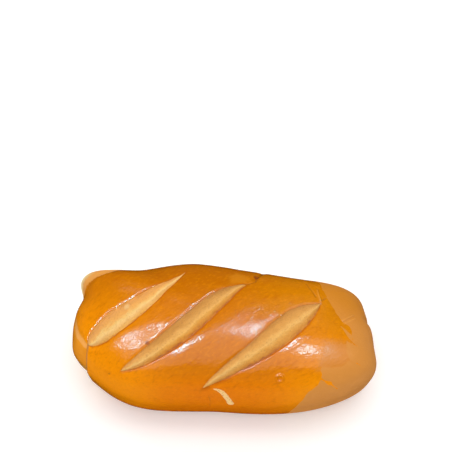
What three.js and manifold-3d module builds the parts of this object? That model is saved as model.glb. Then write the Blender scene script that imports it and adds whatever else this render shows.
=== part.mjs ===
// Milk bun: one long soft roll with a domed crust, three slanting slashes and a flat foot.
// Millimetres, +Z up, long axis along X, the viewer's side is -Y, the flat foot lies on Z = 0.
import * as THREE from "three";
import { mergeVertices } from "three/addons/utils/BufferGeometryUtils.js";
import Module from "manifold-3d";

const halfLength = 73.8;
const halfWidth = 32.9;
const rimHeight = 20; // height of the widest line
const crownRise = 30; // widest line up to the crown, without the puff of the crust
const footDrop = 21; // widest line down to the uncut underside
const planPower = 2.45; // squareness of the plan outline
const crownPower = 2.3; // roundness of the dome
const footPower = 4.5; // squareness of the lower flank

// Outward swells of the rim: bearing and spread in degrees of the rim's own angle, reach in mm.
const rimSwells = [
  { bearing: 141, spread: 7, reach: 11.7 }, // lip at the rear left corner
  { bearing: 43, spread: 9, reach: 6.7 }, // rear right shoulder
  { bearing: 104, spread: 12, reach: 3.1 }, // rear flank
  { bearing: 240, spread: 13, reach: 6.2 }, // belly at the front left
  { bearing: 305, spread: 22, reach: 1.8 }, // front flank
  { bearing: 338, spread: 11, reach: 2.9 }, // front right shoulder
  { bearing: 205, spread: 7, reach: 1.5 }, // lobe at the left end
];

// Slashes in plan. Each edge bows away from the tip-to-tip line by `bow`, furthest at `peak` of
// the length, and leaves the first tip bluntly (low `power`) or slenderly (high `power`). The
// ridge of the dough stands at the `crest` share of the width, counted from the rear edge, at
// the first tip and at the last one.
const slashes = [
  {
    from: [-63.1, -13.5],
    to: [-20, 22.6],
    rear: { bow: 4.8, peak: 0.26, power: 0.63 },
    front: { bow: 6.9, peak: 0.32, power: 0.44 },
    crest: [0.72, 0.7],
  },
  {
    from: [-45.6, -26],
    to: [10.5, 18.1],
    rear: { bow: 4.1, peak: 0.76, power: 3.5 },
    front: { bow: 8.5, peak: 0.39, power: 0.8 },
    crest: [0.62, 0.66],
  },
  {
    from: [-8.1, -31.2],
    to: [46, 12.1],
    rear: { bow: 3.9, peak: 0.77, power: 5.1 },
    front: { bow: 8.9, peak: 0.57, power: 1.1 },
    crest: [0.42, 0.66],
  },
];
const strandRise = 1.9; // puff of the crust over the plain body
const strandFoot = 8; // height at which the puff starts
const strandTop = 34; // height at which the puff is complete
const rearDough = 1; // dough in a slash over the plain body, at its rear edge
const crestDough = 2.3; // at its ridge
const frontDough = 0.5; // and at its front edge
const fullWidth = 7; // a slash this wide or wider has its full depth
const edgeRun = 1.6; // run over which a slash drops from the edge of the crust
const shoulderDrop = 0.65; // the crust in front of a slash leans back to its edge by this much
const shoulderRun = 5.5; // over this distance

// Creases of the skin: a groove of the given depth and half width along a line of points.
const creases = [
  { line: [[-73, 13.6, 28], [-66, 21.6, 37], [-56.5, 25.1, 39]], depth: 1.3, half: 2.2 }, // lip, rear left
  { line: [[10, 18.1, 48], [15, 24.6, 43.5], [18, 32.6, 33]], depth: 1.1, half: 2.4 }, // dip in the rear
  { line: [[69, 11.6, 32], [75, 12.6, 20]], depth: 1.2, half: 2.2 }, // notch, right end
  { line: [[-64.5, -14.4, 36], [-70.5, -6.4, 33], [-75, 5.1, 26]], depth: 0.9, half: 2 }, // left end lobe
];

// Fold at the left end: the body to its right stands proud of the lobe to its left.
const foldPlace = -63.4;
const foldRear = -12.4; // the fold starts in front of this line
const foldRun = 6; // and is complete after this length
const foldProud = 1.2;
const foldProudRun = 9;
const foldSink = 1.5;
const foldSinkRun = 5;
const foldStep = 3; // length of the drop from the proud side to the sunk one

const cellsLong = 56;
const cellsWide = 28;
const cellsHigh = 14;
const slabMargin = 10;

const degrees = 180 / Math.PI;
const fullTurn = 360;

function smooth(low, high, value) {
  const t = Math.min(1, Math.max(0, (value - low) / (high - low)));
  return t * t * (3 - 2 * t);
}

function bell(distance, spread) {
  return Math.exp(-((distance / spread) ** 2));
}

function rimReach(bearing) {
  let reach = 0;
  for (const swell of rimSwells) {
    const around = bearing - swell.bearing;
    const apart = around - fullTurn * Math.round(around / fullTurn);
    reach += swell.reach * bell(apart, swell.spread * Math.SQRT2);
  }
  return reach;
}

// A point of the unit box, drawn in to the plain body along the line to the centre of the rim.
function bodyPoint(u, v, w) {
  const power = w > 0 ? crownPower : footPower;
  const plan = (Math.abs(u) ** planPower + Math.abs(v) ** planPower) ** (1 / planPower);
  const radius = plan > 0 ? Math.hypot(halfLength * u, halfWidth * v) / plan : 1;
  const swollen = plan / (1 + rimReach(Math.atan2(v, u) * degrees) / radius);
  const gauge = (swollen ** power + Math.abs(w) ** power) ** (1 / power);
  const rise = w > 0 ? crownRise : footDrop;
  return [(halfLength * u) / gauge, (halfWidth * v) / gauge, rimHeight + (rise * w) / gauge];
}

function bowAt(edge, along) {
  const nearTip = (along / edge.peak) ** edge.power;
  const farPower = (edge.power * (1 - edge.peak)) / edge.peak;
  const farTip = ((1 - along) / (1 - edge.peak)) ** farPower;
  return edge.bow * nearTip * farTip;
}

// Where a plan point lies to a slash: the gap to the nearest edge, which is below zero inside,
// the share of the width behind the point, and how far the slash is open there.
function placeInSlash(slash, x, y) {
  const dx = slash.to[0] - slash.from[0];
  const dy = slash.to[1] - slash.from[1];
  const length = Math.hypot(dx, dy);
  const px = x - slash.from[0];
  const py = y - slash.from[1];
  const along = (px * dx + py * dy) / length ** 2;
  const across = (py * dx - px * dy) / length;
  if (along <= 0) {
    return { gap: Math.hypot(px, py) };
  }
  if (along >= 1) {
    return { gap: Math.hypot(x - slash.to[0], y - slash.to[1]) };
  }
  const rear = bowAt(slash.rear, along);
  const front = -bowAt(slash.front, along);
  const width = rear - front;
  const crest = THREE.MathUtils.lerp(...slash.crest, along);
  const inFront = across < (rear + front) / 2;
  return {
    gap: Math.max(across - rear, front - across),
    part: (rear - across) / width,
    open: Math.sqrt(Math.min(1, width / fullWidth)),
    crest,
    inFront,
  };
}

// Dough across a slash: a broad slope up to the ridge and a short one down in front of it.
function doughHeight(place) {
  if (place.part < place.crest) {
    return THREE.MathUtils.lerp(rearDough, crestDough, place.part / place.crest);
  }
  return THREE.MathUtils.lerp(frontDough, crestDough, (1 - place.part) / (1 - place.crest));
}

function slashRelief(x, y, z) {
  let height = strandRise;
  for (const slash of slashes) {
    const place = placeInSlash(slash, x, y);
    const away = Math.min(1, Math.max(0, place.gap / shoulderRun));
    const shoulder = place.inFront ? shoulderDrop * place.open * (1 - away) ** 2 : 0;
    if (place.gap < 0) {
      const edge = smooth(0, edgeRun, -place.gap);
      const drop = place.open * (doughHeight(place) - strandRise) + shoulder;
      height = strandRise - shoulder + edge * drop;
    } else {
      height = Math.min(height, strandRise - shoulder);
    }
  }
  return smooth(strandFoot, strandTop, z) * height;
}

function creaseRelief(point) {
  let relief = 0;
  for (const crease of creases) {
    let nearest = Infinity;
    for (let i = 1; i < crease.line.length; i += 1) {
      const start = new THREE.Vector3(...crease.line[i - 1]);
      const end = new THREE.Vector3(...crease.line[i]);
      const foot = new THREE.Line3(start, end).closestPointToPoint(point, true, new THREE.Vector3());
      nearest = Math.min(nearest, foot.distanceTo(point));
    }
    relief -= crease.depth * bell(nearest, crease.half);
  }
  return relief;
}

function foldRelief(x, y) {
  const present = smooth(foldRear, foldRear - foldRun, y);
  const right = smooth(foldPlace - foldStep / 2, foldPlace + foldStep / 2, x);
  const proud = foldProud * Math.exp(Math.min(0, foldPlace - x) / foldProudRun);
  const sunk = -foldSink * Math.exp(Math.min(0, x - foldPlace) / foldSinkRun);
  return present * THREE.MathUtils.lerp(sunk, proud, right);
}

// Surface of a box divided into cells, each corner of a cell moved by `place`.
function cellSkin(place) {
  const counts = [cellsLong, cellsWide, cellsHigh];
  const numbered = new Map();
  const positions = [];
  const corners = [];
  const cornerAt = (steps) => {
    const key = steps.join();
    if (!numbered.has(key)) {
      numbered.set(key, positions.length / 3);
      positions.push(...place(...steps.map((step, axis) => (2 * step) / counts[axis] - 1)));
    }
    return numbered.get(key);
  };
  for (let axis = 0; axis < 3; axis += 1) {
    const second = (axis + 1) % 3;
    const third = (axis + 2) % 3;
    for (const side of [0, counts[axis]]) {
      for (let i = 0; i < counts[second]; i += 1) {
        for (let j = 0; j < counts[third]; j += 1) {
          const cell = [[0, 0], [1, 0], [1, 1], [0, 1]].map(([di, dj]) => {
            const steps = [0, 0, 0];
            steps[axis] = side;
            steps[second] = i + di;
            steps[third] = j + dj;
            return cornerAt(steps);
          });
          const [a, b, c, d] = side === 0 ? cell.reverse() : cell;
          corners.push(a, b, c, a, c, d);
        }
      }
    }
  }
  const skin = new THREE.BufferGeometry();
  skin.setAttribute("position", new THREE.Float32BufferAttribute(positions, 3));
  skin.setIndex(corners);
  skin.computeVertexNormals();
  return skin;
}

function raiseRelief(skin) {
  const position = skin.getAttribute("position");
  const normal = skin.getAttribute("normal");
  for (let i = 0; i < position.count; i += 1) {
    const point = new THREE.Vector3().fromBufferAttribute(position, i);
    const outward = new THREE.Vector3().fromBufferAttribute(normal, i);
    const { x, y, z } = point;
    const height = slashRelief(x, y, z) + creaseRelief(point) + foldRelief(x, y);
    point.addScaledVector(outward, height);
    position.setXYZ(i, point.x, point.y, point.z);
  }
}

function toSolid(wasm, geometry) {
  const vertProperties = Float32Array.from(geometry.getAttribute("position").array);
  const triVerts = Uint32Array.from(geometry.getIndex().array);
  return new wasm.Manifold(new wasm.Mesh({ numProp: 3, vertProperties, triVerts }));
}

// The underside is cut away below Z = 0, which leaves the flat foot the bun rests on.
function cutFoot(wasm, skin) {
  const long = 2 * (halfLength + slabMargin);
  const wide = 2 * (halfWidth + slabMargin);
  const slab = new THREE.BoxGeometry(long, wide, slabMargin);
  slab.translate(0, 0, -slabMargin / 2);
  slab.deleteAttribute("normal");
  slab.deleteAttribute("uv");
  const cut = toSolid(wasm, skin).subtract(toSolid(wasm, mergeVertices(slab))).getMesh();
  const geometry = new THREE.BufferGeometry();
  geometry.setAttribute("position", new THREE.Float32BufferAttribute(cut.vertProperties, cut.numProp));
  geometry.setIndex(Array.from(cut.triVerts));
  return geometry;
}

function centreInPlan(geometry) {
  geometry.computeBoundingBox();
  const middle = geometry.boundingBox.getCenter(new THREE.Vector3());
  geometry.translate(-middle.x, -middle.y, -geometry.boundingBox.min.z);
  geometry.computeVertexNormals();
  return geometry;
}

const wasm = await Module();
wasm.setup();

const skin = cellSkin(bodyPoint);
raiseRelief(skin);
const crust = new THREE.MeshStandardMaterial({ color: 0xc9761a, roughness: 0.45, metalness: 0 });
const bun = new THREE.Mesh(centreInPlan(cutFoot(wasm, skin)), crust);
bun.name = "milk_bun";

const group = new THREE.Group();
group.name = "milk_bun_part";
group.add(bun);

export default group;
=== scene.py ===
import math

import bmesh
import bpy
import numpy as np
from mathutils import Matrix, Vector, noise


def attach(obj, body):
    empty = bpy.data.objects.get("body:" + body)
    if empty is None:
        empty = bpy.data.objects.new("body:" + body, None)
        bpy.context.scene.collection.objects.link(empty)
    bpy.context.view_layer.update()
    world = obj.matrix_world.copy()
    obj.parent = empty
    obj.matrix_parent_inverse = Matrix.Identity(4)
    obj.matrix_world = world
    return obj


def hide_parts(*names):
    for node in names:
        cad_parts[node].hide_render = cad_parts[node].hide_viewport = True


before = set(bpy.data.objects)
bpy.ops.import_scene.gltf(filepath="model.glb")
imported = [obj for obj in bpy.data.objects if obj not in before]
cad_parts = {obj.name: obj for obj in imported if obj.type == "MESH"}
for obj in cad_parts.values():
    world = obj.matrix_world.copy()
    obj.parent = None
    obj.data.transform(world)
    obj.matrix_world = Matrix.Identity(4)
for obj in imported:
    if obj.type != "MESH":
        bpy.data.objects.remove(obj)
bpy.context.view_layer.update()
print("frame is in")

metre = 0.001  # shapes are written in millimetres and built in metres
nearZero = 1e-9
seedShift = (1, 2.3, 3.1)  # a seed moves the lumps of the crust along this

bunShape = {
    "halfLength": 73.8,
    "halfWidth": 32.9,
    "rimHeight": 20.0,  # height of the widest line
    "crownRise": 30.0,
    "footDrop": 21.0,
    "planPower": 2.45,  # squareness of the outline from above
    "crownPower": 2.3,
    "footPower": 4.5,
    "cells": (178, 86, 38),  # along, across, up
    "fineCuts": 2,  # extra cuts of every cell near a slash or a fine mark
    "fineReach": 1.9,
    # x, y and reach of each fine mark
    "finePatches": [(29, -26, 2.6), (42, 19, 5), (60, 7, 4), (60, -2, 4), (53, -24, 4), (-65.5, -17, 4),
                    (13, 22, 4)],
    # bearing and spread in degrees of the rim's own angle, reach in mm
    "rimSwells": [
        (141, 7, 11.7),  # lip at the rear left corner
        (43, 9, 6.7),  # rear right shoulder
        (104, 12, 3.1),  # rear flank
        (240, 13, 6.2),  # belly at the front left
        (305, 22, 1.8),  # front flank
        (338, 11, 2.9),  # front right shoulder
        (205, 7, 1.5),  # lobe at the left end
    ],
}

# every slash runs from a front left tip to a rear right tip; an edge bows out by bow at peak of its
# length, and power says how bluntly it leaves the first tip; crest is how far forward the ridge of
# dough lies at the two tips
slashes = [
    {"start": (-63.1, -13.5), "end": (-20.0, 22.6), "rear": (4.8, 0.26, 0.63), "front": (6.9, 0.32, 0.44),
     "crest": (0.72, 0.70)},
    {"start": (-45.6, -26.0), "end": (10.5, 18.1), "rear": (4.1, 0.76, 3.50), "front": (8.5, 0.39, 0.80),
     "crest": (0.62, 0.66)},
    {"start": (-8.1, -31.2), "end": (46.0, 12.1), "rear": (3.9, 0.77, 5.10), "front": (8.9, 0.57, 1.10),
     "crest": (0.42, 0.66)},
]

slashRelief = {
    "strandRise": 1.9,  # puff of the crust over the plain body
    "strandFoot": 8.0,  # height at which the puff starts
    "strandTop": 34.0,  # height at which it is complete
    "rimDrop": 0.3,  # the crust rounds off by this much in front of a slash
    "rimRun": 0.8,
    "rearRimDrop": 0.5,  # and rolls over more gently behind it
    "rearRimRun": 1.7,
    "shoulderDrop": 0.65,  # and leans gently back over a wider strip in front of it
    "shoulderRun": 5.5,
    "sideRun": 0.5,  # front and rear are told apart over this far from a slash's middle
    "rearDough": 1.0,  # heights of the dough over the plain body
    "crestDough": 2.3,
    "frontDough": 0.5,
    "crestSharpness": 3.0,  # per mm, larger is a keener ridge
    "fullWidth": 7.0,  # a slash this wide or wider has its full depth
    "leastWidth": 0.001,
    "tipMargin": 0.0001,  # of its length
    "edgeRun": 0.5,  # how quickly the dough drops away from the crust
    "edgeWander": 0.3,  # unevenness of the cut edges and the ridge
    "wanderSize": 4.0,
    "wanderSeed": 7,
}

creases = [
    {"line": [(-73, 13.6, 28), (-66, 21.6, 37), (-56.5, 25.1, 39)], "depth": 1.3, "half": 1.6},
    {"line": [(10, 18.1, 48), (15, 24.6, 43.5), (18, 32.6, 33)], "depth": 1.1, "half": 1.6},
    {"line": [(69, 11.6, 32), (75, 12.6, 20)], "depth": 1.2, "half": 1.8},
    {"line": [(-64.5, -14.4, 36), (-70.5, -6.4, 33), (-75, 5.1, 26)], "depth": 0.9, "half": 1.2},
]

# the fold at the left end: the crust stands proud on its right and sinks on its left
fold = {
    "place": -63.4,  # x of the step
    "rear": -12.4,  # y where it begins
    "run": 6.0,  # and how far it takes to reach its full height
    "proud": 1.2,
    "proudRun": 9.0,
    "sink": 1.5,
    "sinkRun": 5.0,
    "drop": 1.2,  # width of the step
    "linePlace": 0.4,  # the painted shade line of the step lies this far onto the proud side
    "lineStart": 2.0,  # and starts this far before the fold does
}


def smoothStep(low, high, value):
    t = np.clip((value - low) / (high - low), 0.0, 1.0)
    return t * t * (3.0 - 2.0 * t)


def bell(distance, spread):
    return np.exp(-((distance / spread) ** 2))


def boxLattice(cells):
    # quads over the six sides of a box, each corner numbered once
    counts = np.array(cells)
    numbered = {}
    steps = []
    quads = []
    for axis in range(3):
        second, third = (axis + 1) % 3, (axis + 2) % 3
        for side in (0, counts[axis]):
            grid = np.zeros((counts[second] + 1, counts[third] + 1), dtype=np.int64)
            for i in range(counts[second] + 1):
                for j in range(counts[third] + 1):
                    corner = [0, 0, 0]
                    corner[axis], corner[second], corner[third] = int(side), i, j
                    key = tuple(corner)
                    if key not in numbered:
                        numbered[key] = len(steps)
                        steps.append(key)
                    grid[i, j] = numbered[key]
            a, b, c, d = grid[:-1, :-1], grid[1:, :-1], grid[1:, 1:], grid[:-1, 1:]
            ring = (a, b, c, d) if side else (d, c, b, a)
            quads.append(np.stack([r.ravel() for r in ring], axis=1))
    unit = 2.0 * np.array(steps, dtype=float) / counts - 1.0
    return unit, np.concatenate(quads)


def bodyPoints(unit, shape):
    # the plain body without its puff, and a flat map of its skin
    u, v, w = unit.T
    power = np.where(w > 0, shape["crownPower"], shape["footPower"])
    planPower = shape["planPower"]
    plan = (np.abs(u) ** planPower + np.abs(v) ** planPower) ** (1 / planPower)
    bearing = np.degrees(np.arctan2(v, u))
    reach = np.zeros_like(bearing)
    for centre, spread, rise in shape["rimSwells"]:
        apart = (bearing - centre + 180) % 360 - 180
        reach += rise * bell(apart, spread * math.sqrt(2))
    radius = np.hypot(shape["halfLength"] * u, shape["halfWidth"] * v) / np.maximum(plan, nearZero)
    swollen = plan / (1 + reach / np.maximum(radius, nearZero))
    gauge = (swollen ** power + np.abs(w) ** power) ** (1 / power)
    rise = np.where(w > 0, shape["crownRise"], shape["footDrop"])
    x = shape["halfLength"] * u / gauge
    y = shape["halfWidth"] * v / gauge
    z = shape["rimHeight"] + rise * w / gauge
    # on the map the crown is in the middle, the rim on an ellipse, and the foot beyond it
    down = np.arctan2(plan, w) / (math.pi / 2)
    around = np.arctan2(v, u)
    skinMap = np.stack([shape["halfLength"] * np.cos(around) * down,
                        shape["halfWidth"] * np.sin(around) * down], axis=1)
    return np.stack([x, y, z], axis=1), skinMap


def bowAt(edge, along):
    bow, peak, power = edge
    s = np.clip(along, slashRelief["tipMargin"], 1 - slashRelief["tipMargin"])
    farPower = power * (1 - peak) / peak
    return bow * (s / peak) ** power * ((1 - s) / (1 - peak)) ** farPower


def slashPlace(slash, x, y, wander=0.0):
    # where each point lies in or beside a slash; its gap is below zero inside
    start, end = np.array(slash["start"]), np.array(slash["end"])
    dx, dy = end - start
    length = math.hypot(dx, dy)
    px, py = x - start[0], y - start[1]
    along = (px * dx + py * dy) / length ** 2
    across = (py * dx - px * dy) / length
    rear = bowAt(slash["rear"], along)
    front = -bowAt(slash["front"], along)
    gap = np.maximum(across - rear, front - across)
    gap = np.where(along <= 0, np.hypot(px, py), gap)
    gap = np.where(along >= 1, np.hypot(x - end[0], y - end[1]), gap)
    gap = gap + wander
    width = np.maximum(rear - front, slashRelief["leastWidth"])
    part = np.clip((rear - across) / width, 0, 1)
    crest = slash["crest"][0] + (slash["crest"][1] - slash["crest"][0]) * np.clip(along, 0, 1)
    inFront = smoothStep(-slashRelief["sideRun"], slashRelief["sideRun"], (front + rear) / 2 - across)
    return {"gap": gap, "part": part, "width": width, "along": along, "crest": crest, "inFront": inFront}


def lineGap(points, line):
    # distance in mm from every point to a line of points
    best = np.full(len(points), np.inf)
    for start, end in zip(np.array(line[:-1], float), np.array(line[1:], float)):
        run = end - start
        t = np.clip((points - start) @ run / (run @ run), 0, 1)
        best = np.minimum(best, np.linalg.norm(points - start - t[:, None] * run, axis=1))
    return best


def areaGap(points, border):
    # signed distance to a closed border on the skin map, below zero inside
    ring = list(border) + [border[0]]
    gap = lineGap(points, ring)
    inside = np.zeros(len(points), dtype=bool)
    x, y = points.T
    for (x0, y0), (x1, y1) in zip(ring[:-1], ring[1:]):
        crosses = (y0 > y) != (y1 > y)
        at = x0 + (y - y0) * (x1 - x0) / ((y1 - y0) or nearZero)
        inside ^= crosses & (x < at)
    return np.where(inside, -gap, gap)


def ontoSkin(line):
    # moves each place of a line straight onto the crust and keeps what follows its x, y and z
    placed = []
    for place in line:
        spot = np.array(place[:3])
        near = np.argmin(((centred - spot) ** 2).sum(axis=1))
        spot = spot + normals[near] * ((centred[near] - spot) @ normals[near])
        placed.append((*spot.tolist(), *place[3:]))
    return placed


def taperedGap(points, line):
    # distance in mm to a run of round dabs, each given as x, y, z and radius, below zero inside
    best = np.full(len(points), np.inf)
    for first, second in zip(line[:-1], line[1:]):
        start, end = np.array(first[:3]), np.array(second[:3])
        run = end - start
        t = np.clip((points - start) @ run / (run @ run), 0, 1)
        gap = np.linalg.norm(points - start - t[:, None] * run, axis=1)
        best = np.minimum(best, gap - (first[3] + (second[3] - first[3]) * t))
    return best


def spotsGap(spots):
    # distance in mm to the nearest of some round spots, below zero inside
    placed = ontoSkin(spots)
    return np.min([np.linalg.norm(centred - spot[:3], axis=1) - spot[3] for spot in placed], axis=0)


def lumps(points, size, seed):
    # smooth uneven swelling, about -1..1, with lumps about size mm wide
    shift = Vector([seed * part for part in seedShift])
    return np.array([noise.noise(Vector(place) / size + shift) for place in points.tolist()])


def refined(unit, quads, chosen, cuts):
    # the lattice again, with the chosen quads cut finer and their neighbours fitted to them
    grid = bmesh.new()
    corners = [grid.verts.new(place) for place in unit.tolist()]
    faces = [grid.faces.new([corners[k] for k in quad]) for quad in quads.tolist()]
    edges = {edge for face, wanted in zip(faces, chosen) if wanted for edge in face.edges}
    ordered = sorted(edges, key=lambda edge: [v.co[:] for v in edge.verts])
    bmesh.ops.subdivide_edges(grid, edges=ordered, cuts=cuts, use_grid_fill=True)
    grid.verts.index_update()
    finer = np.array([v.co[:] for v in grid.verts])
    polygons = [[v.index for v in face.verts] for face in grid.faces]
    grid.free()
    return finer, polygons


def bunLattice(shape):
    unit, quads = boxLattice(shape["cells"])
    coarse, _ = bodyPoints(unit, shape)
    gaps = [slashPlace(slash, coarse[:, 0], coarse[:, 1])["gap"] for slash in slashes]
    nearMark = np.abs(np.min(gaps, axis=0)) < shape["fineReach"]
    for x, y, reach in shape["finePatches"]:
        nearMark |= np.hypot(coarse[:, 0] - x, coarse[:, 1] - y) < reach
    nearMark &= coarse[:, 2] > shape["rimHeight"]
    return refined(unit, quads, nearMark[quads].any(axis=1), shape["fineCuts"])


def smoothNormals(points, polygons):
    trial = bpy.data.meshes.new("trial")
    trial.from_pydata(points.tolist(), [], polygons)
    trial.update()
    found = np.empty(len(points) * 3)
    trial.vertices.foreach_get("normal", found)
    bpy.data.meshes.remove(trial)
    return found.reshape(-1, 3)


unit, polygons = bunLattice(bunShape)
plain, skinMap = bodyPoints(unit, bunShape)
normals = smoothNormals(plain, polygons)
x, y, z = plain.T

upper = smoothStep(slashRelief["strandFoot"], slashRelief["strandTop"], z)
puffed = plain + normals * (upper * slashRelief["strandRise"])[:, None]
planMiddle = (plain.max(axis=0) + plain.min(axis=0)) / 2 * (1, 1, 0)
centred = puffed - planMiddle
wander = slashRelief["edgeWander"] * lumps(plain, slashRelief["wanderSize"], slashRelief["wanderSeed"])
places = [slashPlace(slash, x, y, wander) for slash in slashes]


def slashHeight(places, look):
    # the puffed crust rounding off beside each slash, and the two slopes of dough in it
    rise = look["strandRise"]
    height = np.full(len(plain), rise)
    for place in places:
        opened = np.sqrt(np.minimum(1, place["width"] / look["fullWidth"]))
        inFront = place["inFront"]
        rimRun = look["rearRimRun"] + (look["rimRun"] - look["rearRimRun"]) * inFront
        rimDrop = look["rearRimDrop"] + (look["rimDrop"] - look["rearRimDrop"]) * inFront
        rim = rimDrop * opened * (1 - np.clip(place["gap"] / rimRun, 0, 1)) ** 2
        lean = np.clip(place["gap"] / look["shoulderRun"], 0, 1)
        rim += look["shoulderDrop"] * opened * inFront * (1 - lean) ** 2
        part, crest = place["part"], place["crest"]
        rearSlope = look["rearDough"] + (look["crestDough"] - look["rearDough"]) * part / crest
        frontSlope = look["frontDough"] + (look["crestDough"] - look["frontDough"]) * (1 - part) / (1 - crest)
        keen = look["crestSharpness"]
        dough = -np.log(np.exp(-keen * rearSlope) + np.exp(-keen * frontSlope)) / keen
        edge = smoothStep(0, look["edgeRun"], -place["gap"])
        inside = rise - rim + edge * (opened * (dough - rise) + rim)
        height = np.where(place["gap"] < 0, inside, np.minimum(height, rise - rim))
    return height


def foldHeight(look):
    present = smoothStep(-look["rear"], -look["rear"] + look["run"], -y)
    proudSide = look["proud"] * np.exp(np.minimum(0, look["place"] - x) / look["proudRun"])
    sunkSide = -look["sink"] * np.exp(np.minimum(0, x - look["place"]) / look["sinkRun"])
    onRight = smoothStep(look["place"] - look["drop"] / 2, look["place"] + look["drop"] / 2, x)
    return present * (sunkSide + (proudSide - sunkSide) * onRight)


# small forms of the crust, placed in mm from the middle of the foot
smallForms = {
    "wrinkles": [  # fine folds: line, depth, half width
        ([(38.4, 23.9, 42.9), (40.3, 20.1, 45.4), (43.3, 15.5, 46.3)], 0.35, 0.5),
        ([(43.8, 19.4, 45.1), (44.8, 15.9, 45.9), (45.9, 13.3, 45.9)], -0.35, 0.6),
        ([(48.3, 15.6, 44.8), (45.9, 13.3, 45.9)], 0.2, 0.5),
        ([(58.2, 3.9, 42.6), (60.2, 5.8, 41.4), (63.3, 8.6, 39.0)], -0.35, 0.45),
        ([(57.0, 5.3, 42.6), (59.0, 7.4, 41.4), (62.1, 10.2, 39.0)], -0.5, 0.45),
        ([(-4.6, -32.8, 31.1), (-3.6, -33.7, 26.0), (-4.2, -34.1, 21.1)], 0.3, 0.5),
        ([(9.0, 19.0, 48.0), (13.8, 21.1, 46.7), (14.1, 25.0, 43.9)], 0.5, 0.7),
    ],
    "blister": {"at": (28.3, -26.3, 41.9), "ring": 1.6, "half": 0.6, "rise": 0.7},
    "unevenness": [(16.0, 0.22, 4), (7.0, 0.1, 11)],  # size, height, seed
    "evenBelow": (4, 12),  # the foot is smooth, and the crust is uneven above it
}


def smallHeight(forms):
    height = np.zeros(len(plain))
    for line, depth, half in forms["wrinkles"]:
        height -= depth * bell(lineGap(centred, ontoSkin(line)), half)
    blister = forms["blister"]
    fromBlister = np.linalg.norm(centred - ontoSkin([blister["at"]])[0], axis=1)
    height += blister["rise"] * bell(fromBlister - blister["ring"], blister["half"])
    for size, swell, seed in forms["unevenness"]:
        height += swell * lumps(plain, size, seed) * smoothStep(*forms["evenBelow"], z)
    return height


height = upper * slashHeight(places, slashRelief) + foldHeight(fold) + smallHeight(smallForms)
for crease in creases:
    height -= crease["depth"] * bell(lineGap(plain, crease["line"]), crease["half"])

points = plain + normals * height[:, None]
points[:, 2] = np.maximum(points[:, 2], 0.0)
middle = (points.max(axis=0) + points.min(axis=0)) / 2 * (1, 1, 0)
points -= middle
print("bun is shaped,", len(points), "points")

mesh = bpy.data.meshes.new("milkBun")
mesh.from_pydata((points * metre).tolist(), [], polygons)
mesh.update()
mesh.polygons.foreach_set("use_smooth", [True] * len(mesh.polygons))
bun = bpy.data.objects.new("milkBun", mesh)
bpy.context.scene.collection.objects.link(bun)

# borders on the skin map; those that run off the bun close far outside it
skinBorders = {
    "unglazedEnd": [
        (30, 45), (29.5, 17.5), (28.5, 12), (30, 10), (32.5, 8), (35.5, 5.5), (38.5, 3), (37.5, 1.5),
        (39, -0.5), (40, -2.5), (39.5, -4.5), (38.8, -6.5), (40, -8.5), (38.5, -10.5), (34.5, -11.5),
        (30.5, -11.7), (30.5, -12.5), (31.5, -13.7), (32, -15), (32, -17), (30.3, -20), (31.7, -25),
        (41.5, -37.5), (46, -90), (170, -90), (170, 45)],
    "thinGlaze": [
        (30, -4.5), (34, -3.8), (43, -2.5), (45, -7), (43, -13), (29, -13), (28.5, -10), (29.5, -7)],
    "rearFlank": [
        (-110, 6), (-66, 9.1), (-53.5, 12.9), (-48, 13.5), (-40, 13.2), (-36.5, 13.2), (-35, 13.4),
        (-34.5, 14.5), (-33.5, 15.7), (-27, 23.5), (-5, 27.5), (18, 27), (30, 24.5), (60, 20.5),
        (60, 90), (-110, 90)],
    "leftLobe": [
        (-43.3, -9.8), (-46.5, -8), (-51.5, -5.3), (-56.5, -1), (-62, 3.3), (-110, 6.5), (-110, -60),
        (-85, -48), (-65, -22.5), (-52, -18.5), (-47.5, -16), (-46, -13.6), (-44.7, -11.4)],
    "crustFlap": [
        (0.5, 14.0), (2.9, 17.2), (6.2, 15.6), (8.5, 13.2), (6.2, 11.3), (3.8, 11.0), (1.3, 10.8)],
}
# runs and dabs on the skin: x, y, z and radius in mm
glazeRuns = [
    [(54.2, 4.4, 43.7, 1.5), (57.0, 3.0, 42.8, 1.3), (59.5, 2.0, 41.8, 1.6), (60.9, 0.6, 41.2, 1.2),
     (61.6, -0.8, 40.9, 0.25), (62.3, -3.9, 40.6, 0.1)],
    [(56.0, 0.0, 43.4, 1.5), (58.1, -2.6, 42.7, 1.3), (60.1, -4.4, 41.9, 1.0), (62.8, -5.6, 40.6, 0.5),
     (65.7, -6.5, 38.7, 0.12)],
    [(59.6, -14.0, 40.7, 0.5), (62.0, -14.2, 39.4, 0.3), (65.1, -14.2, 37.5, 0.22),
     (67.6, -14.4, 35.5, 0.15)],
    [(47.6, -23.7, 38.9, 0.5), (49.8, -24.2, 37.5, 0.3), (51.0, -24.4, 36.6, 0.7), (52.3, -24.6, 35.7, 1.1),
     (53.4, -24.8, 34.7, 0.35), (56.3, -25.3, 31.4, 0.18)],
]
peeledFlake = [(-2.4, -32.2, 36.4, 0.2), (-0.7, -32.3, 36.3, 0.65), (1.4, -32.7, 35.2, 1.1),
               (3.3, -33.6, 32.9, 1.35), (5.0, -34.4, 29.6, 1.3), (5.7, -34.7, 27.2, 1.6),
               (6.0, -34.8, 26.2, 1.6)]
darkSpots = [(-35.1, -15.8, 47.7, 0.9), (14.1, 25.0, 43.9, 1.3), (-51.8, -26.4, 34.2, 0.4)]
# pale specks painted on as small glints of the glaze: x, y, z and radius in mm
paintedGlints = [(-56.4, 16.4, 43.7, 0.25), (-38.9, -35.0, 31.2, 0.3), (34.4, -0.3, 49.5, 0.35),
              (-33.1, 27.5, 40.3, 0.25), (20.9, 1.3, 51.2, 0.35), (27.0, 2.4, 50.5, 0.3),
              (70.0, 12.0, 33.0, 0.25)]
doughDab = (-47.3, 2.7, 47.0, 1.3)  # pale blotch in the left slash
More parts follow.
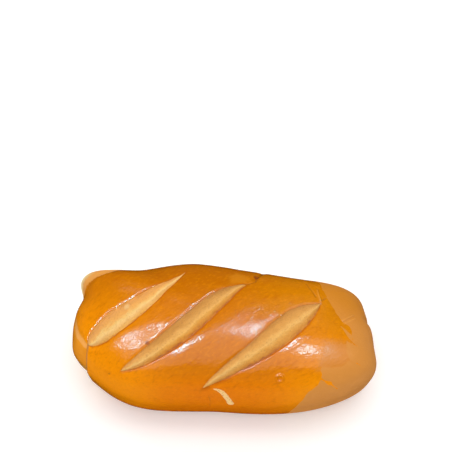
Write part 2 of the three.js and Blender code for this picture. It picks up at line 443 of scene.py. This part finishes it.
# the palest strip of the lobe, beside the left end of the crust
palestStrip = [(-74.6, 1.6, 29.5), (-73.2, -3.6, 31.8), (-71.2, -8.6, 33.6), (-68.4, -12.0, 35.4),
               (-66.0, -15.0, 36.0)]
doughBake = {
    "slashes": (0.0, 1.0, 0.8),  # how tan the dough of each slash is, left to right
    "tipShare": 0.3,  # it is paler at its first tip
    "tipRun": 0.35,
}


def keepOnSkin(name, values):
    layer = mesh.attributes.new(name, "FLOAT", "POINT")
    layer.data.foreach_set("value", np.ascontiguousarray(values, dtype=np.float32))


def keepSlashes():
    gaps = np.stack([place["gap"] for place in places])
    nearest = np.argmin(gaps, axis=0)
    keepOnSkin("slashGap", gaps.min(axis=0))
    # across a slash: 0 at its rear edge, 1 at the ridge, 2 at its front edge
    across = [np.where(place["part"] < place["crest"], place["part"] / place["crest"],
                       1 + (place["part"] - place["crest"]) / (1 - place["crest"])) for place in places]
    keepOnSkin("acrossSlash", np.choose(nearest, across))
    keepOnSkin("frontSide", np.choose(nearest, [place["inFront"] for place in places]))
    tip, run = doughBake["tipShare"], doughBake["tipRun"]
    bakes = [share * (tip + (1 - tip) * smoothStep(0.0, run, place["along"]))
             for share, place in zip(doughBake["slashes"], places)]
    keepOnSkin("doughBake", np.choose(nearest, bakes))


def keepBorders():
    gaps = {name: areaGap(skinMap, border) for name, border in skinBorders.items()}
    runs = np.min([taperedGap(centred, ontoSkin(run)) for run in glazeRuns], axis=0)
    gaps["unglazedEnd"] = np.maximum(gaps["unglazedEnd"], -runs)
    for name, gap in gaps.items():
        keepOnSkin(name, gap)


def keepMarks():
    ahead = np.maximum(0, y - fold["rear"] + fold["lineStart"])
    keepOnSkin("foldGap", np.hypot(x - fold["place"] - fold["linePlace"], ahead))
    wrinkles = [(lineGap(centred, ontoSkin(line)), depth) for line, depth, _ in smallForms["wrinkles"]]
    grooves = [gap for gap, depth in wrinkles if depth > 0]
    grooves += [lineGap(plain, crease["line"]) for crease in creases]
    keepOnSkin("creaseGap", np.min(grooves, axis=0))
    keepOnSkin("raisedGap", np.min([gap for gap, depth in wrinkles if depth < 0], axis=0))
    keepOnSkin("flakeGap", taperedGap(centred, ontoSkin(peeledFlake)))
    keepOnSkin("stripGap", lineGap(centred, ontoSkin(palestStrip)))
    keepOnSkin("spotGap", spotsGap(darkSpots))
    keepOnSkin("glintGap", spotsGap(paintedGlints))
    keepOnSkin("dabGap", spotsGap([doughDab]))


keepSlashes()
keepBorders()
keepMarks()
print("bun has its borders and marks")

grainMiddle = 0.5  # the values of a grain lie around this
crustDark = (0.50, 0.105, 0.0004)
poreBrown = (0.50, 0.19, 0.03)
rearTan = (0.86, 0.36, 0.055)
bunFinish = {
    "grainTurn": 39.5,  # degrees, brushing and torn dough run along the slashes
    # width of a lump in mm, detail, roughness, and how many times longer than wide a lump is
    "grains": {
        "pores": (0.8, 2.0, 0.6, 1),
        "wobble": (2.2, 3.0, 0.6, 1),
        "strands": (1.0, 0.0, 0.5, 6),
        "dashes": (0.7, 0.0, 0.45, 1.7),
        "clouds": (14.0, 3.0, 0.55, 1),
        "patches": (4.0, 3.0, 0.6, 1),
        "mottle": (1.3, 1.0, 0.5, 1.8),
        "blotches": (2.2, 3.0, 0.65, 2.5),
        "crumb": (1.1, 4.0, 0.65, 1),
    },
    # the grain that frays a border, by how many mm, and the gaps at which it begins and is complete
    "borders": {
        "slashGap": ("pores", 0.35, 0.12, -0.12),
        "unglazedEnd": ("wobble", 0.8, 0.12, -0.12),
        "thinGlaze": ("wobble", 2.0, 1.0, -2.0),
        "rearFlank": ("wobble", 1.2, 0.5, -0.5),
        "leftLobe": ("wobble", 0.6, 0.2, -0.2),
        "crustFlap": ("wobble", 1.5, 0.6, -1.5),
        "dabGap": ("wobble", 1.0, 0.8, -0.6),
        "stripGap": ("wobble", 1.0, 1.7, 0.7),
        "foldGap": ("wobble", 0.5, 1.2, 0.4),
        "spotGap": ("wobble", 1.0, 0.6, -0.4),
        "flakeGap": ("pores", 0.8, 0.12, -0.12),
        "glintGap": (None, 0.0, 0.15, -0.1),
        "raisedGap": (None, 0.0, 0.6, 0.1),
        "creaseGap": (None, 0.0, 0.6, 0.05),
    },
    # a layer covers share of what it lies on, where each guide is past its first value towards its
    # second, and within its border; fade spreads a guide over two shares; places are in metres and
    # the gap to a slash is in mm
    "crust": {
        "base": (0.80, 0.185, 0.0004),
        "gold": (0.96, 0.305, 0.0006),
        "goldAtEnds": 0.7,
        "goldInClouds": 0.45,
        "layers": {
            # painted shade: the crust is darkened over its top and towards its rear
            "paintedTopShade": {"colour": (0.585, 0.172, 0.0006), "where": {"high": (0.036, 0.047)},
                         "fade": {"ends": (0.8, 0.45)}},
            "paintedRearShade": {"colour": (0.53, 0.145, 0.0006), "share": 0.85,
                          "where": {"rearward": (-0.004, 0.026)}},
            "yellowRight": {"colour": (0.665, 0.222, 0.0006), "share": 0.8,
                            "where": {"lengthwise": (-0.004, 0.035), "rearward": (-0.012, 0.008)}},
            "darkPatches": {"colour": crustDark, "share": 0.25, "where": {"patches": (0.52, 0.8)}},
            "brushedStrands": {"colour": crustDark, "share": 0.28,
                               "where": {"strands": (0.5, 0.72), "patches": (0.3, 0.6),
                                         "high": (0.03, 0.042)}},
            # painted shade: the crust is darkened low on its flanks, towards the foot
            "paintedLowShade": {"colour": (0.62, 0.13, 0.001), "share": 0.7, "where": {"high": (0.022, 0.006)}},
            "specks": {"colour": crustDark, "share": 0.2, "where": {"pores": (0.6, 0.72)}},
            "darkMottle": {"colour": crustDark, "share": 0.09, "where": {"mottle": (0.5, 0.25)}},
            "lightMottle": {"colour": (1.0, 0.36, 0.002), "share": 0.18, "where": {"mottle": (0.5, 0.75)}},
            # darker red rims beside the slashes: partly browning of the crust, partly painted shade in the
            # valleys along their front edges
            "rimBrowningAndShade": {"colour": (0.52, 0.11, 0.001),
                        "where": {"slashGap": (1.3, 0.1), "patches": (0.2, 0.6)},
                        "fade": {"frontSide": (0.25, 0.8)}},
            "flap": {"colour": (0.70, 0.24, 0.008), "share": 0.7, "border": "crustFlap"},
        },
    },
    "dough": {
        # colours from the rear edge of a slash (0) over the ridge to its front edge (1); their darkening down
        # the front slope towards the front edge is painted shade
        "ridge": 0.5,
        "pale": [(0.0, (0.74, 0.30, 0.035)), (0.1, (0.82, 0.35, 0.07)), (0.3, (0.90, 0.41, 0.075)),
                 (0.42, (0.92, 0.52, 0.13)), (0.5, (0.93, 0.58, 0.19)), (0.6, (0.92, 0.54, 0.17)),
                 (0.75, (0.84, 0.45, 0.11)), (0.92, (0.82, 0.40, 0.06)), (1.0, (0.66, 0.26, 0.03))],
        "baked": [(0.0, (0.52, 0.20, 0.018)), (0.12, (0.60, 0.25, 0.03)), (0.3, (0.70, 0.315, 0.05)),
                  (0.42, (0.79, 0.39, 0.08)), (0.5, (0.85, 0.44, 0.09)), (0.6, (0.76, 0.35, 0.045)),
                  (0.74, (0.74, 0.30, 0.02)), (0.9, (0.62, 0.20, 0.003)), (1.0, (0.40, 0.085, 0.001))],
        "blotchShare": 0.5,  # how far blotches carry one shade into the next
        "layers": {
            "pits": {"colour": poreBrown, "where": {"pores": (0.55, 0.70)},
                     "fade": {"doughBake": (0.35, 0.5)}},
            "dab": {"colour": (0.95, 0.62, 0.24), "share": 0.6, "border": "dabGap"},
        },
    },
    "bareEnd": {
        "base": (0.71, 0.265, 0.028),
        "layers": {
            "tanPatches": {"colour": rearTan, "share": 0.15, "where": {"patches": (0.45, 0.8)}},
            # painted shade: the bare end is darkened towards the rear
            "paintedEndShade": {"colour": (0.66, 0.225, 0.0), "where": {"rearward": (0.0, 0.018)}},
        },
    },
    "rearFlank": {
        "tan": rearTan,
        "pale": (1.0, 0.76, 0.34),
        "paleDepth": (-3.0, -6.0),  # mm in from its border
        "lipDepth": (-0.6, -2.4),  # and on the lip at the left
        "lip": (-0.066, -0.073),  # which lies between these, lengthwise
        "endBlend": (0.054, 0.036),  # the bare end fades into it between these
    },
    "lobe": {
        "base": (0.90, 0.32, 0.015),
        "endWobble": 0.003,
        "footSlope": 1.45,  # its bare foot lies below a line that climbs towards the fold
        "layers": {
            "brownEnd": {"colour": (0.56, 0.15, 0.01), "share": 0.35,
                         "where": {"endward": (-0.068, -0.074), "high": (0.036, 0.024),
                                   "rearward": (0.006, -0.010)}},
            "bareFoot": {"colour": (0.95, 0.44, 0.075), "where": {"climb": (0.1206, 0.1190)}},
        },
    },
    "thinGlaze": {"colour": (0.67, 0.235, 0.026), "share": 0.85, "border": "thinGlaze"},
    "palestStrip": {"colour": (0.96, 0.42, 0.09), "border": "stripGap"},
    "marks": {
        # painted shade in the grooves of the creases and of the fine folds
        "creases": {"colour": (0.40, 0.14, 0.02), "share": 0.45, "border": "creaseGap"},
        # painted shade: a darker line along the step of the fold
        "foldShadeLine": {"colour": (0.52, 0.21, 0.065), "share": 0.7, "border": "foldGap"},
        "darkSpots": {"colour": (0.28, 0.06, 0.01), "share": 0.8, "border": "spotGap"},
        # painted highlights: small pale glints
        "paintedGlints": {"colour": (1.0, 0.78, 0.45), "share": 0.8, "border": "glintGap"},
        "raisedLines": {"colour": rearTan, "share": 0.4, "border": "raisedGap"},
    },
    "flake": {
        "base": (0.98, 0.62, 0.23),
        "layers": {"pits": {"colour": poreBrown, "where": {"pores": (0.6, 0.68)}}},
    },
    "underside": (0.34, 0.14, 0.035),
    "undersideTop": (0.0035, 0.002),  # heights at which it begins and is complete
    "undersideWobble": 0.004,
    "ends": (0.012, 0.048),  # distance from the middle at which the ends begin and are complete
    "roughness": {"crust": 0.15, "thinGlaze": 0.3, "bare": 0.5, "dough": 0.85},
    "relief": {"dashes": 0.000068, "strands": 0.00004, "patches": 0.00012, "crumb": 0.0006},  # metres
}

bakedBun = bpy.data.materials.new("bakedBun")
bakedBun.use_nodes = True
tree = bakedBun.node_tree
tree.nodes.clear()


# small helpers for wiring the finish
def feed(socket, value):
    if isinstance(value, bpy.types.NodeSocket):
        tree.links.new(value, socket)
    else:
        socket.default_value = value


def combined(operation, first, second=0.0, clamp=False):
    node = tree.nodes.new("ShaderNodeMath")
    node.operation = operation
    node.use_clamp = clamp
    feed(node.inputs[0], first)
    feed(node.inputs[1], second)
    return node.outputs[0]


def times(first, second):
    return combined("MULTIPLY", first, second)


def plus(first, second, clamp=False):
    return combined("ADD", first, second, clamp)


def larger(first, second):
    return combined("MAXIMUM", first, second)


def scaled(value, low, high):
    # 0..1 spread over low..high
    return plus(times(value, high - low), low)


def step(value, low, high):
    node = tree.nodes.new("ShaderNodeMapRange")
    node.interpolation_type = "SMOOTHSTEP"
    feed(node.inputs["Value"], value)
    node.inputs["From Min"].default_value = low
    node.inputs["From Max"].default_value = high
    return node.outputs["Result"]


def blended(amount, under, over):
    node = tree.nodes.new("ShaderNodeMix")
    feed(node.inputs[0], amount)
    feed(node.inputs[2], under)
    feed(node.inputs[3], over)
    return node.outputs[0]


def tint(amount, under, over):
    node = tree.nodes.new("ShaderNodeMix")
    node.data_type = "RGBA"
    feed(node.inputs[0], amount)
    feed(node.inputs[6], under if isinstance(under, bpy.types.NodeSocket) else (*under, 1))
    feed(node.inputs[7], over if isinstance(over, bpy.types.NodeSocket) else (*over, 1))
    return node.outputs[2]


def turned(where, degrees, stretch):
    # the same place, turned about the upright and stretched, so that grain runs one way
    node = tree.nodes.new("ShaderNodeMapping")
    feed(node.inputs["Vector"], where)
    node.vector_type = "TEXTURE"
    node.inputs["Rotation"].default_value = (0, 0, math.radians(degrees))
    node.inputs["Scale"].default_value = (stretch, 1, 1)
    return node.outputs["Vector"]


def grain(where, size, detail, roughness, stretch):
    node = tree.nodes.new("ShaderNodeTexNoise")
    feed(node.inputs["Vector"], where if stretch == 1 else turned(where, bunFinish["grainTurn"], stretch))
    node.inputs["Scale"].default_value = 1 / (size * metre)
    node.inputs["Detail"].default_value = detail
    node.inputs["Roughness"].default_value = roughness
    return node.outputs["Fac"]


def ramp(value, stops):
    # colours laid out along 0..1
    node = tree.nodes.new("ShaderNodeValToRGB")
    feed(node.inputs[0], value)
    marks = node.color_ramp.elements
    while len(marks) < len(stops):
        marks.new(1.0)
    for mark, (at, colour) in zip(marks, stops):
        mark.position = at
        mark.color = (*colour, 1)
    return node.outputs[0]


def fromSkin(name):
    node = tree.nodes.new("ShaderNodeAttribute")
    node.attribute_name = name
    return node.outputs["Fac"]


def guideLines(look):
    # what a layer can follow: places in metres, grains, and what is kept on the skin
    where = tree.nodes.new("ShaderNodeTexCoord").outputs["Object"]
    split = tree.nodes.new("ShaderNodeSeparateXYZ")
    feed(split.inputs[0], where)
    lengthwise, rearward, high = split.outputs
    found = {name: grain(where, *numbers) for name, numbers in look["grains"].items()}
    wobble = plus(found["wobble"], -grainMiddle)
    found.update(lengthwise=lengthwise, rearward=rearward, high=high)
    found["ends"] = step(combined("ABSOLUTE", lengthwise), *look["ends"])
    found["endward"] = plus(lengthwise, times(wobble, look["lobe"]["endWobble"]))
    found["climb"] = plus(high, times(lengthwise, -look["lobe"]["footSlope"]))
    found["footEdge"] = plus(high, times(wobble, look["undersideWobble"]))
    for name in ("slashGap", "frontSide", "acrossSlash", "doughBake"):
        found[name] = fromSkin(name)
    return found


guides = guideLines(bunFinish)


def frayed(name):
    # the gap to a border, made uneven by a grain
    grainName, wide = bunFinish["borders"][name][:2]
    if grainName is None:
        return fromSkin(name)
    return plus(fromSkin(name), times(plus(guides[grainName], -grainMiddle), wide))


def within(name):
    return step(frayed(name), *bunFinish["borders"][name][2:])


def layered(under, layers):
    for layer in layers:
        amount = layer.get("share", 1.0)
        if "border" in layer:
            amount = times(within(layer["border"]), amount)
        for name, ends in layer.get("where", {}).items():
            amount = times(step(guides[name], *ends), amount)
        for name, shares in layer.get("fade", {}).items():
            amount = times(scaled(guides[name], *shares), amount)
        under = tint(amount, under, layer["colour"])
    return under


def crustColour(look):
    atEnds = times(guides["ends"], look["goldAtEnds"])
    golden = plus(atEnds, times(guides["clouds"], look["goldInClouds"]), clamp=True)
    return layered(tint(golden, look["base"], look["gold"]), look["layers"].values())


def doughColour(look):
    blotches = times(plus(guides["blotches"], -grainMiddle), look["blotchShare"])
    across = plus(times(guides["acrossSlash"], look["ridge"]), blotches)
    dough = tint(guides["doughBake"], ramp(across, look["pale"]), ramp(across, look["baked"]))
    return layered(dough, look["layers"].values())


def rearColour(look):
    depth = frayed("rearFlank")
    onLip = times(step(depth, *look["lipDepth"]), step(guides["lengthwise"], *look["lip"]))
    return tint(larger(onLip, step(depth, *look["paleDepth"])), look["tan"], look["pale"])


def bareColour(look):
    return layered(look["base"], look["layers"].values())


def reliefHeight(look, inSlash):
    # dashes and strands on the crust, torn crumb in the slashes
    height = times(guides["dashes"], look["dashes"])
    height = plus(height, times(guides["strands"], look["strands"]))
    height = plus(height, times(guides["patches"], look["patches"]))
    return plus(height, times(times(guides["crumb"], look["crumb"]), inSlash))


def wireBun(look):
    out = tree.nodes.new("ShaderNodeOutputMaterial")
    skin = tree.nodes.new("ShaderNodeBsdfPrincipled")
    feed(out.inputs["Surface"], skin.outputs[0])

    inSlash = within("slashGap")
    inEnd = within("unglazedEnd")
    inRear = within("rearFlank")
    inFlake = within("flakeGap")
    inFoot = step(guides["footEdge"], *look["undersideTop"])
    rear = rearColour(look["rearFlank"])

    colour = layered(crustColour(look["crust"]), [look["thinGlaze"]])
    colour = tint(within("leftLobe"), colour, bareColour(look["lobe"]))
    colour = layered(colour, [look["palestStrip"]])
    colour = tint(inRear, colour, rear)
    colour = tint(inEnd, colour, bareColour(look["bareEnd"]))
    besideEnd = step(guides["lengthwise"], *look["rearFlank"]["endBlend"])
    colour = tint(times(inRear, besideEnd), colour, rear)
    colour = tint(inSlash, colour, doughColour(look["dough"]))
    colour = layered(colour, look["marks"].values())
    colour = tint(inFlake, colour, bareColour(look["flake"]))
    feed(skin.inputs["Base Color"], tint(inFoot, colour, look["underside"]))

    rough = look["roughness"]
    bare = larger(larger(inEnd, inRear), larger(inFoot, inFlake))
    glazed = scaled(within("thinGlaze"), rough["crust"], rough["thinGlaze"])
    feed(skin.inputs["Roughness"], blended(inSlash, blended(bare, glazed, rough["bare"]), rough["dough"]))

    bump = tree.nodes.new("ShaderNodeBump")
    bump.inputs["Strength"].default_value = 1.0
    bump.inputs["Distance"].default_value = 1.0
    feed(bump.inputs["Height"], reliefHeight(look["relief"], inSlash))
    feed(skin.inputs["Normal"], bump.outputs[0])


wireBun(bunFinish)
mesh.materials.append(bakedBun)
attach(bun, "root")
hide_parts("milk_bun")
print("bun has its finish")

# camera at the photo's angle
viewpoint = {
    "bearing": 4.56,  # degrees off the bun's cross axis
    "pitch": 60.7,
    "target": (-3.9, 62.5, 25.0),  # mm, where the lens points
    "distance": 547.0,
    "lens": 82.65,
    "sensor": 36.0,
    "nearest": 0.01,  # metres
    "farthest": 20,
}


def placeCamera(view):
    a, e = math.radians(view["bearing"]), math.radians(view["pitch"])
    back = Vector((math.sin(a) * math.cos(e), -math.cos(a) * math.cos(e), math.sin(e)))
    right = Vector((math.cos(a), math.sin(a), 0))
    up = back.cross(right)
    data = bpy.data.cameras.new("photoView")
    data.lens = view["lens"]
    data.sensor_width = view["sensor"]
    data.clip_start = view["nearest"]
    data.clip_end = view["farthest"]
    camera = bpy.data.objects.new("photoView", data)
    spot = (Vector(view["target"]) + back * view["distance"]) * metre
    camera.matrix_world = Matrix.Translation(spot) @ Matrix((right, up, back)).transposed().to_4x4()
    bpy.context.scene.collection.objects.link(camera)
    bpy.context.scene.camera = camera


placeCamera(viewpoint)

floorLook = {
    "reach": 3.0,
    "colour": (0.93, 0.93, 0.93),
    "roughness": 0.9,
    "lift": 0.2,  # a faint glow, so that the floor stays pale to its far side
}


def placeFloor(look):
    r = look["reach"]
    sheet = bpy.data.meshes.new("paleFloor")
    sheet.from_pydata([(-r, -r, 0), (r, -r, 0), (r, r, 0), (-r, r, 0)], [], [(0, 1, 2, 3)])
    floor = bpy.data.objects.new("paleFloor", sheet)
    bpy.context.scene.collection.objects.link(floor)
    paint = bpy.data.materials.new("paleFloor")
    paint.use_nodes = True
    skin = paint.node_tree.nodes["Principled BSDF"]
    skin.inputs["Base Color"].default_value = (*look["colour"], 1)
    skin.inputs["Roughness"].default_value = look["roughness"]
    skin.inputs["Specular IOR Level"].default_value = 0.0
    skin.inputs["Emission Color"].default_value = (1, 1, 1, 1)
    skin.inputs["Emission Strength"].default_value = look["lift"]
    sheet.materials.append(paint)
    floor.visible_glossy = False


placeFloor(floorLook)

# soft light: the sky and three big panels only fill, and the other panels are only mirrored, glowPanel
# as the pale sheen of the glaze and the four lamps as its highlights
lampColour = (0.3, 0.8, 1.0)
lights = {
    "sky": 0.22,
    # places and sizes in metres, tilt and turn in degrees, glow of the panel's face
    "panels": [
        {"name": "softBox", "at": (0.05, -0.15, 0.6), "wide": 1.2, "deep": 0.62, "glow": 1.0,
         "mirrored": False},
        {"name": "frontFill", "at": (-0.2, -1.0, 0.55), "tilt": 61, "wide": 1.2, "deep": 0.6, "glow": 1.5,
         "mirrored": False},
        {"name": "rearFill", "at": (0.0, 0.35, 0.7), "tilt": -27, "wide": 1.4, "deep": 0.7, "glow": 1.55,
         "mirrored": False},
        {"name": "glowPanel", "at": (0.1, -0.18, 0.58), "wide": 1.4, "deep": 0.70, "glow": 1.08,
         "mirrored": True},
        {"name": "farLeftLamp", "at": (-0.40, -0.055, 0.54), "turn": 27, "wide": 0.19, "deep": 0.04,
         "glow": 44.0, "mirrored": True, "colour": lampColour},
        {"name": "leftLamp", "at": (-0.16, -0.03, 0.54), "turn": 81, "wide": 0.18, "deep": 0.05,
         "glow": 52.0, "mirrored": True, "colour": lampColour},
        {"name": "rightLamp", "at": (0.09, 0.12, 0.54), "turn": 54, "wide": 0.20, "deep": 0.025,
         "glow": 66.0, "mirrored": True, "colour": lampColour},
        {"name": "farRightLamp", "at": (0.27, -0.085, 0.54), "wide": 0.12, "deep": 0.09,
         "glow": 27.0, "mirrored": True, "colour": lampColour},
    ],
}


def placeLights(setup):
    world = bpy.data.worlds.new("paleSky")
    bpy.context.scene.world = world
    world.use_nodes = True
    sky = world.node_tree.nodes["Background"]
    sky.inputs["Color"].default_value = (1, 1, 1, 1)
    sky.inputs["Strength"].default_value = setup["sky"]
    world.cycles_visibility.glossy = False
    for panel in setup["panels"]:
        data = bpy.data.lights.new(panel["name"], "AREA")
        data.shape = "RECTANGLE"
        data.size = panel["wide"]
        data.size_y = panel["deep"]
        data.energy = panel["glow"] * math.pi * panel["wide"] * panel["deep"]
        data.color = panel.get("colour", (1.0, 1.0, 1.0))
        lamp = bpy.data.objects.new(panel["name"], data)
        lamp.location = panel["at"]
        lamp.rotation_euler = (math.radians(panel.get("tilt", 0)), 0, math.radians(panel.get("turn", 0)))
        lamp.visible_glossy = panel["mirrored"]
        lamp.visible_diffuse = not panel["mirrored"]
        bpy.context.scene.collection.objects.link(lamp)


placeLights(lights)
bpy.context.scene.view_settings.view_transform = "Standard"
print("camera, floor and lights are in")
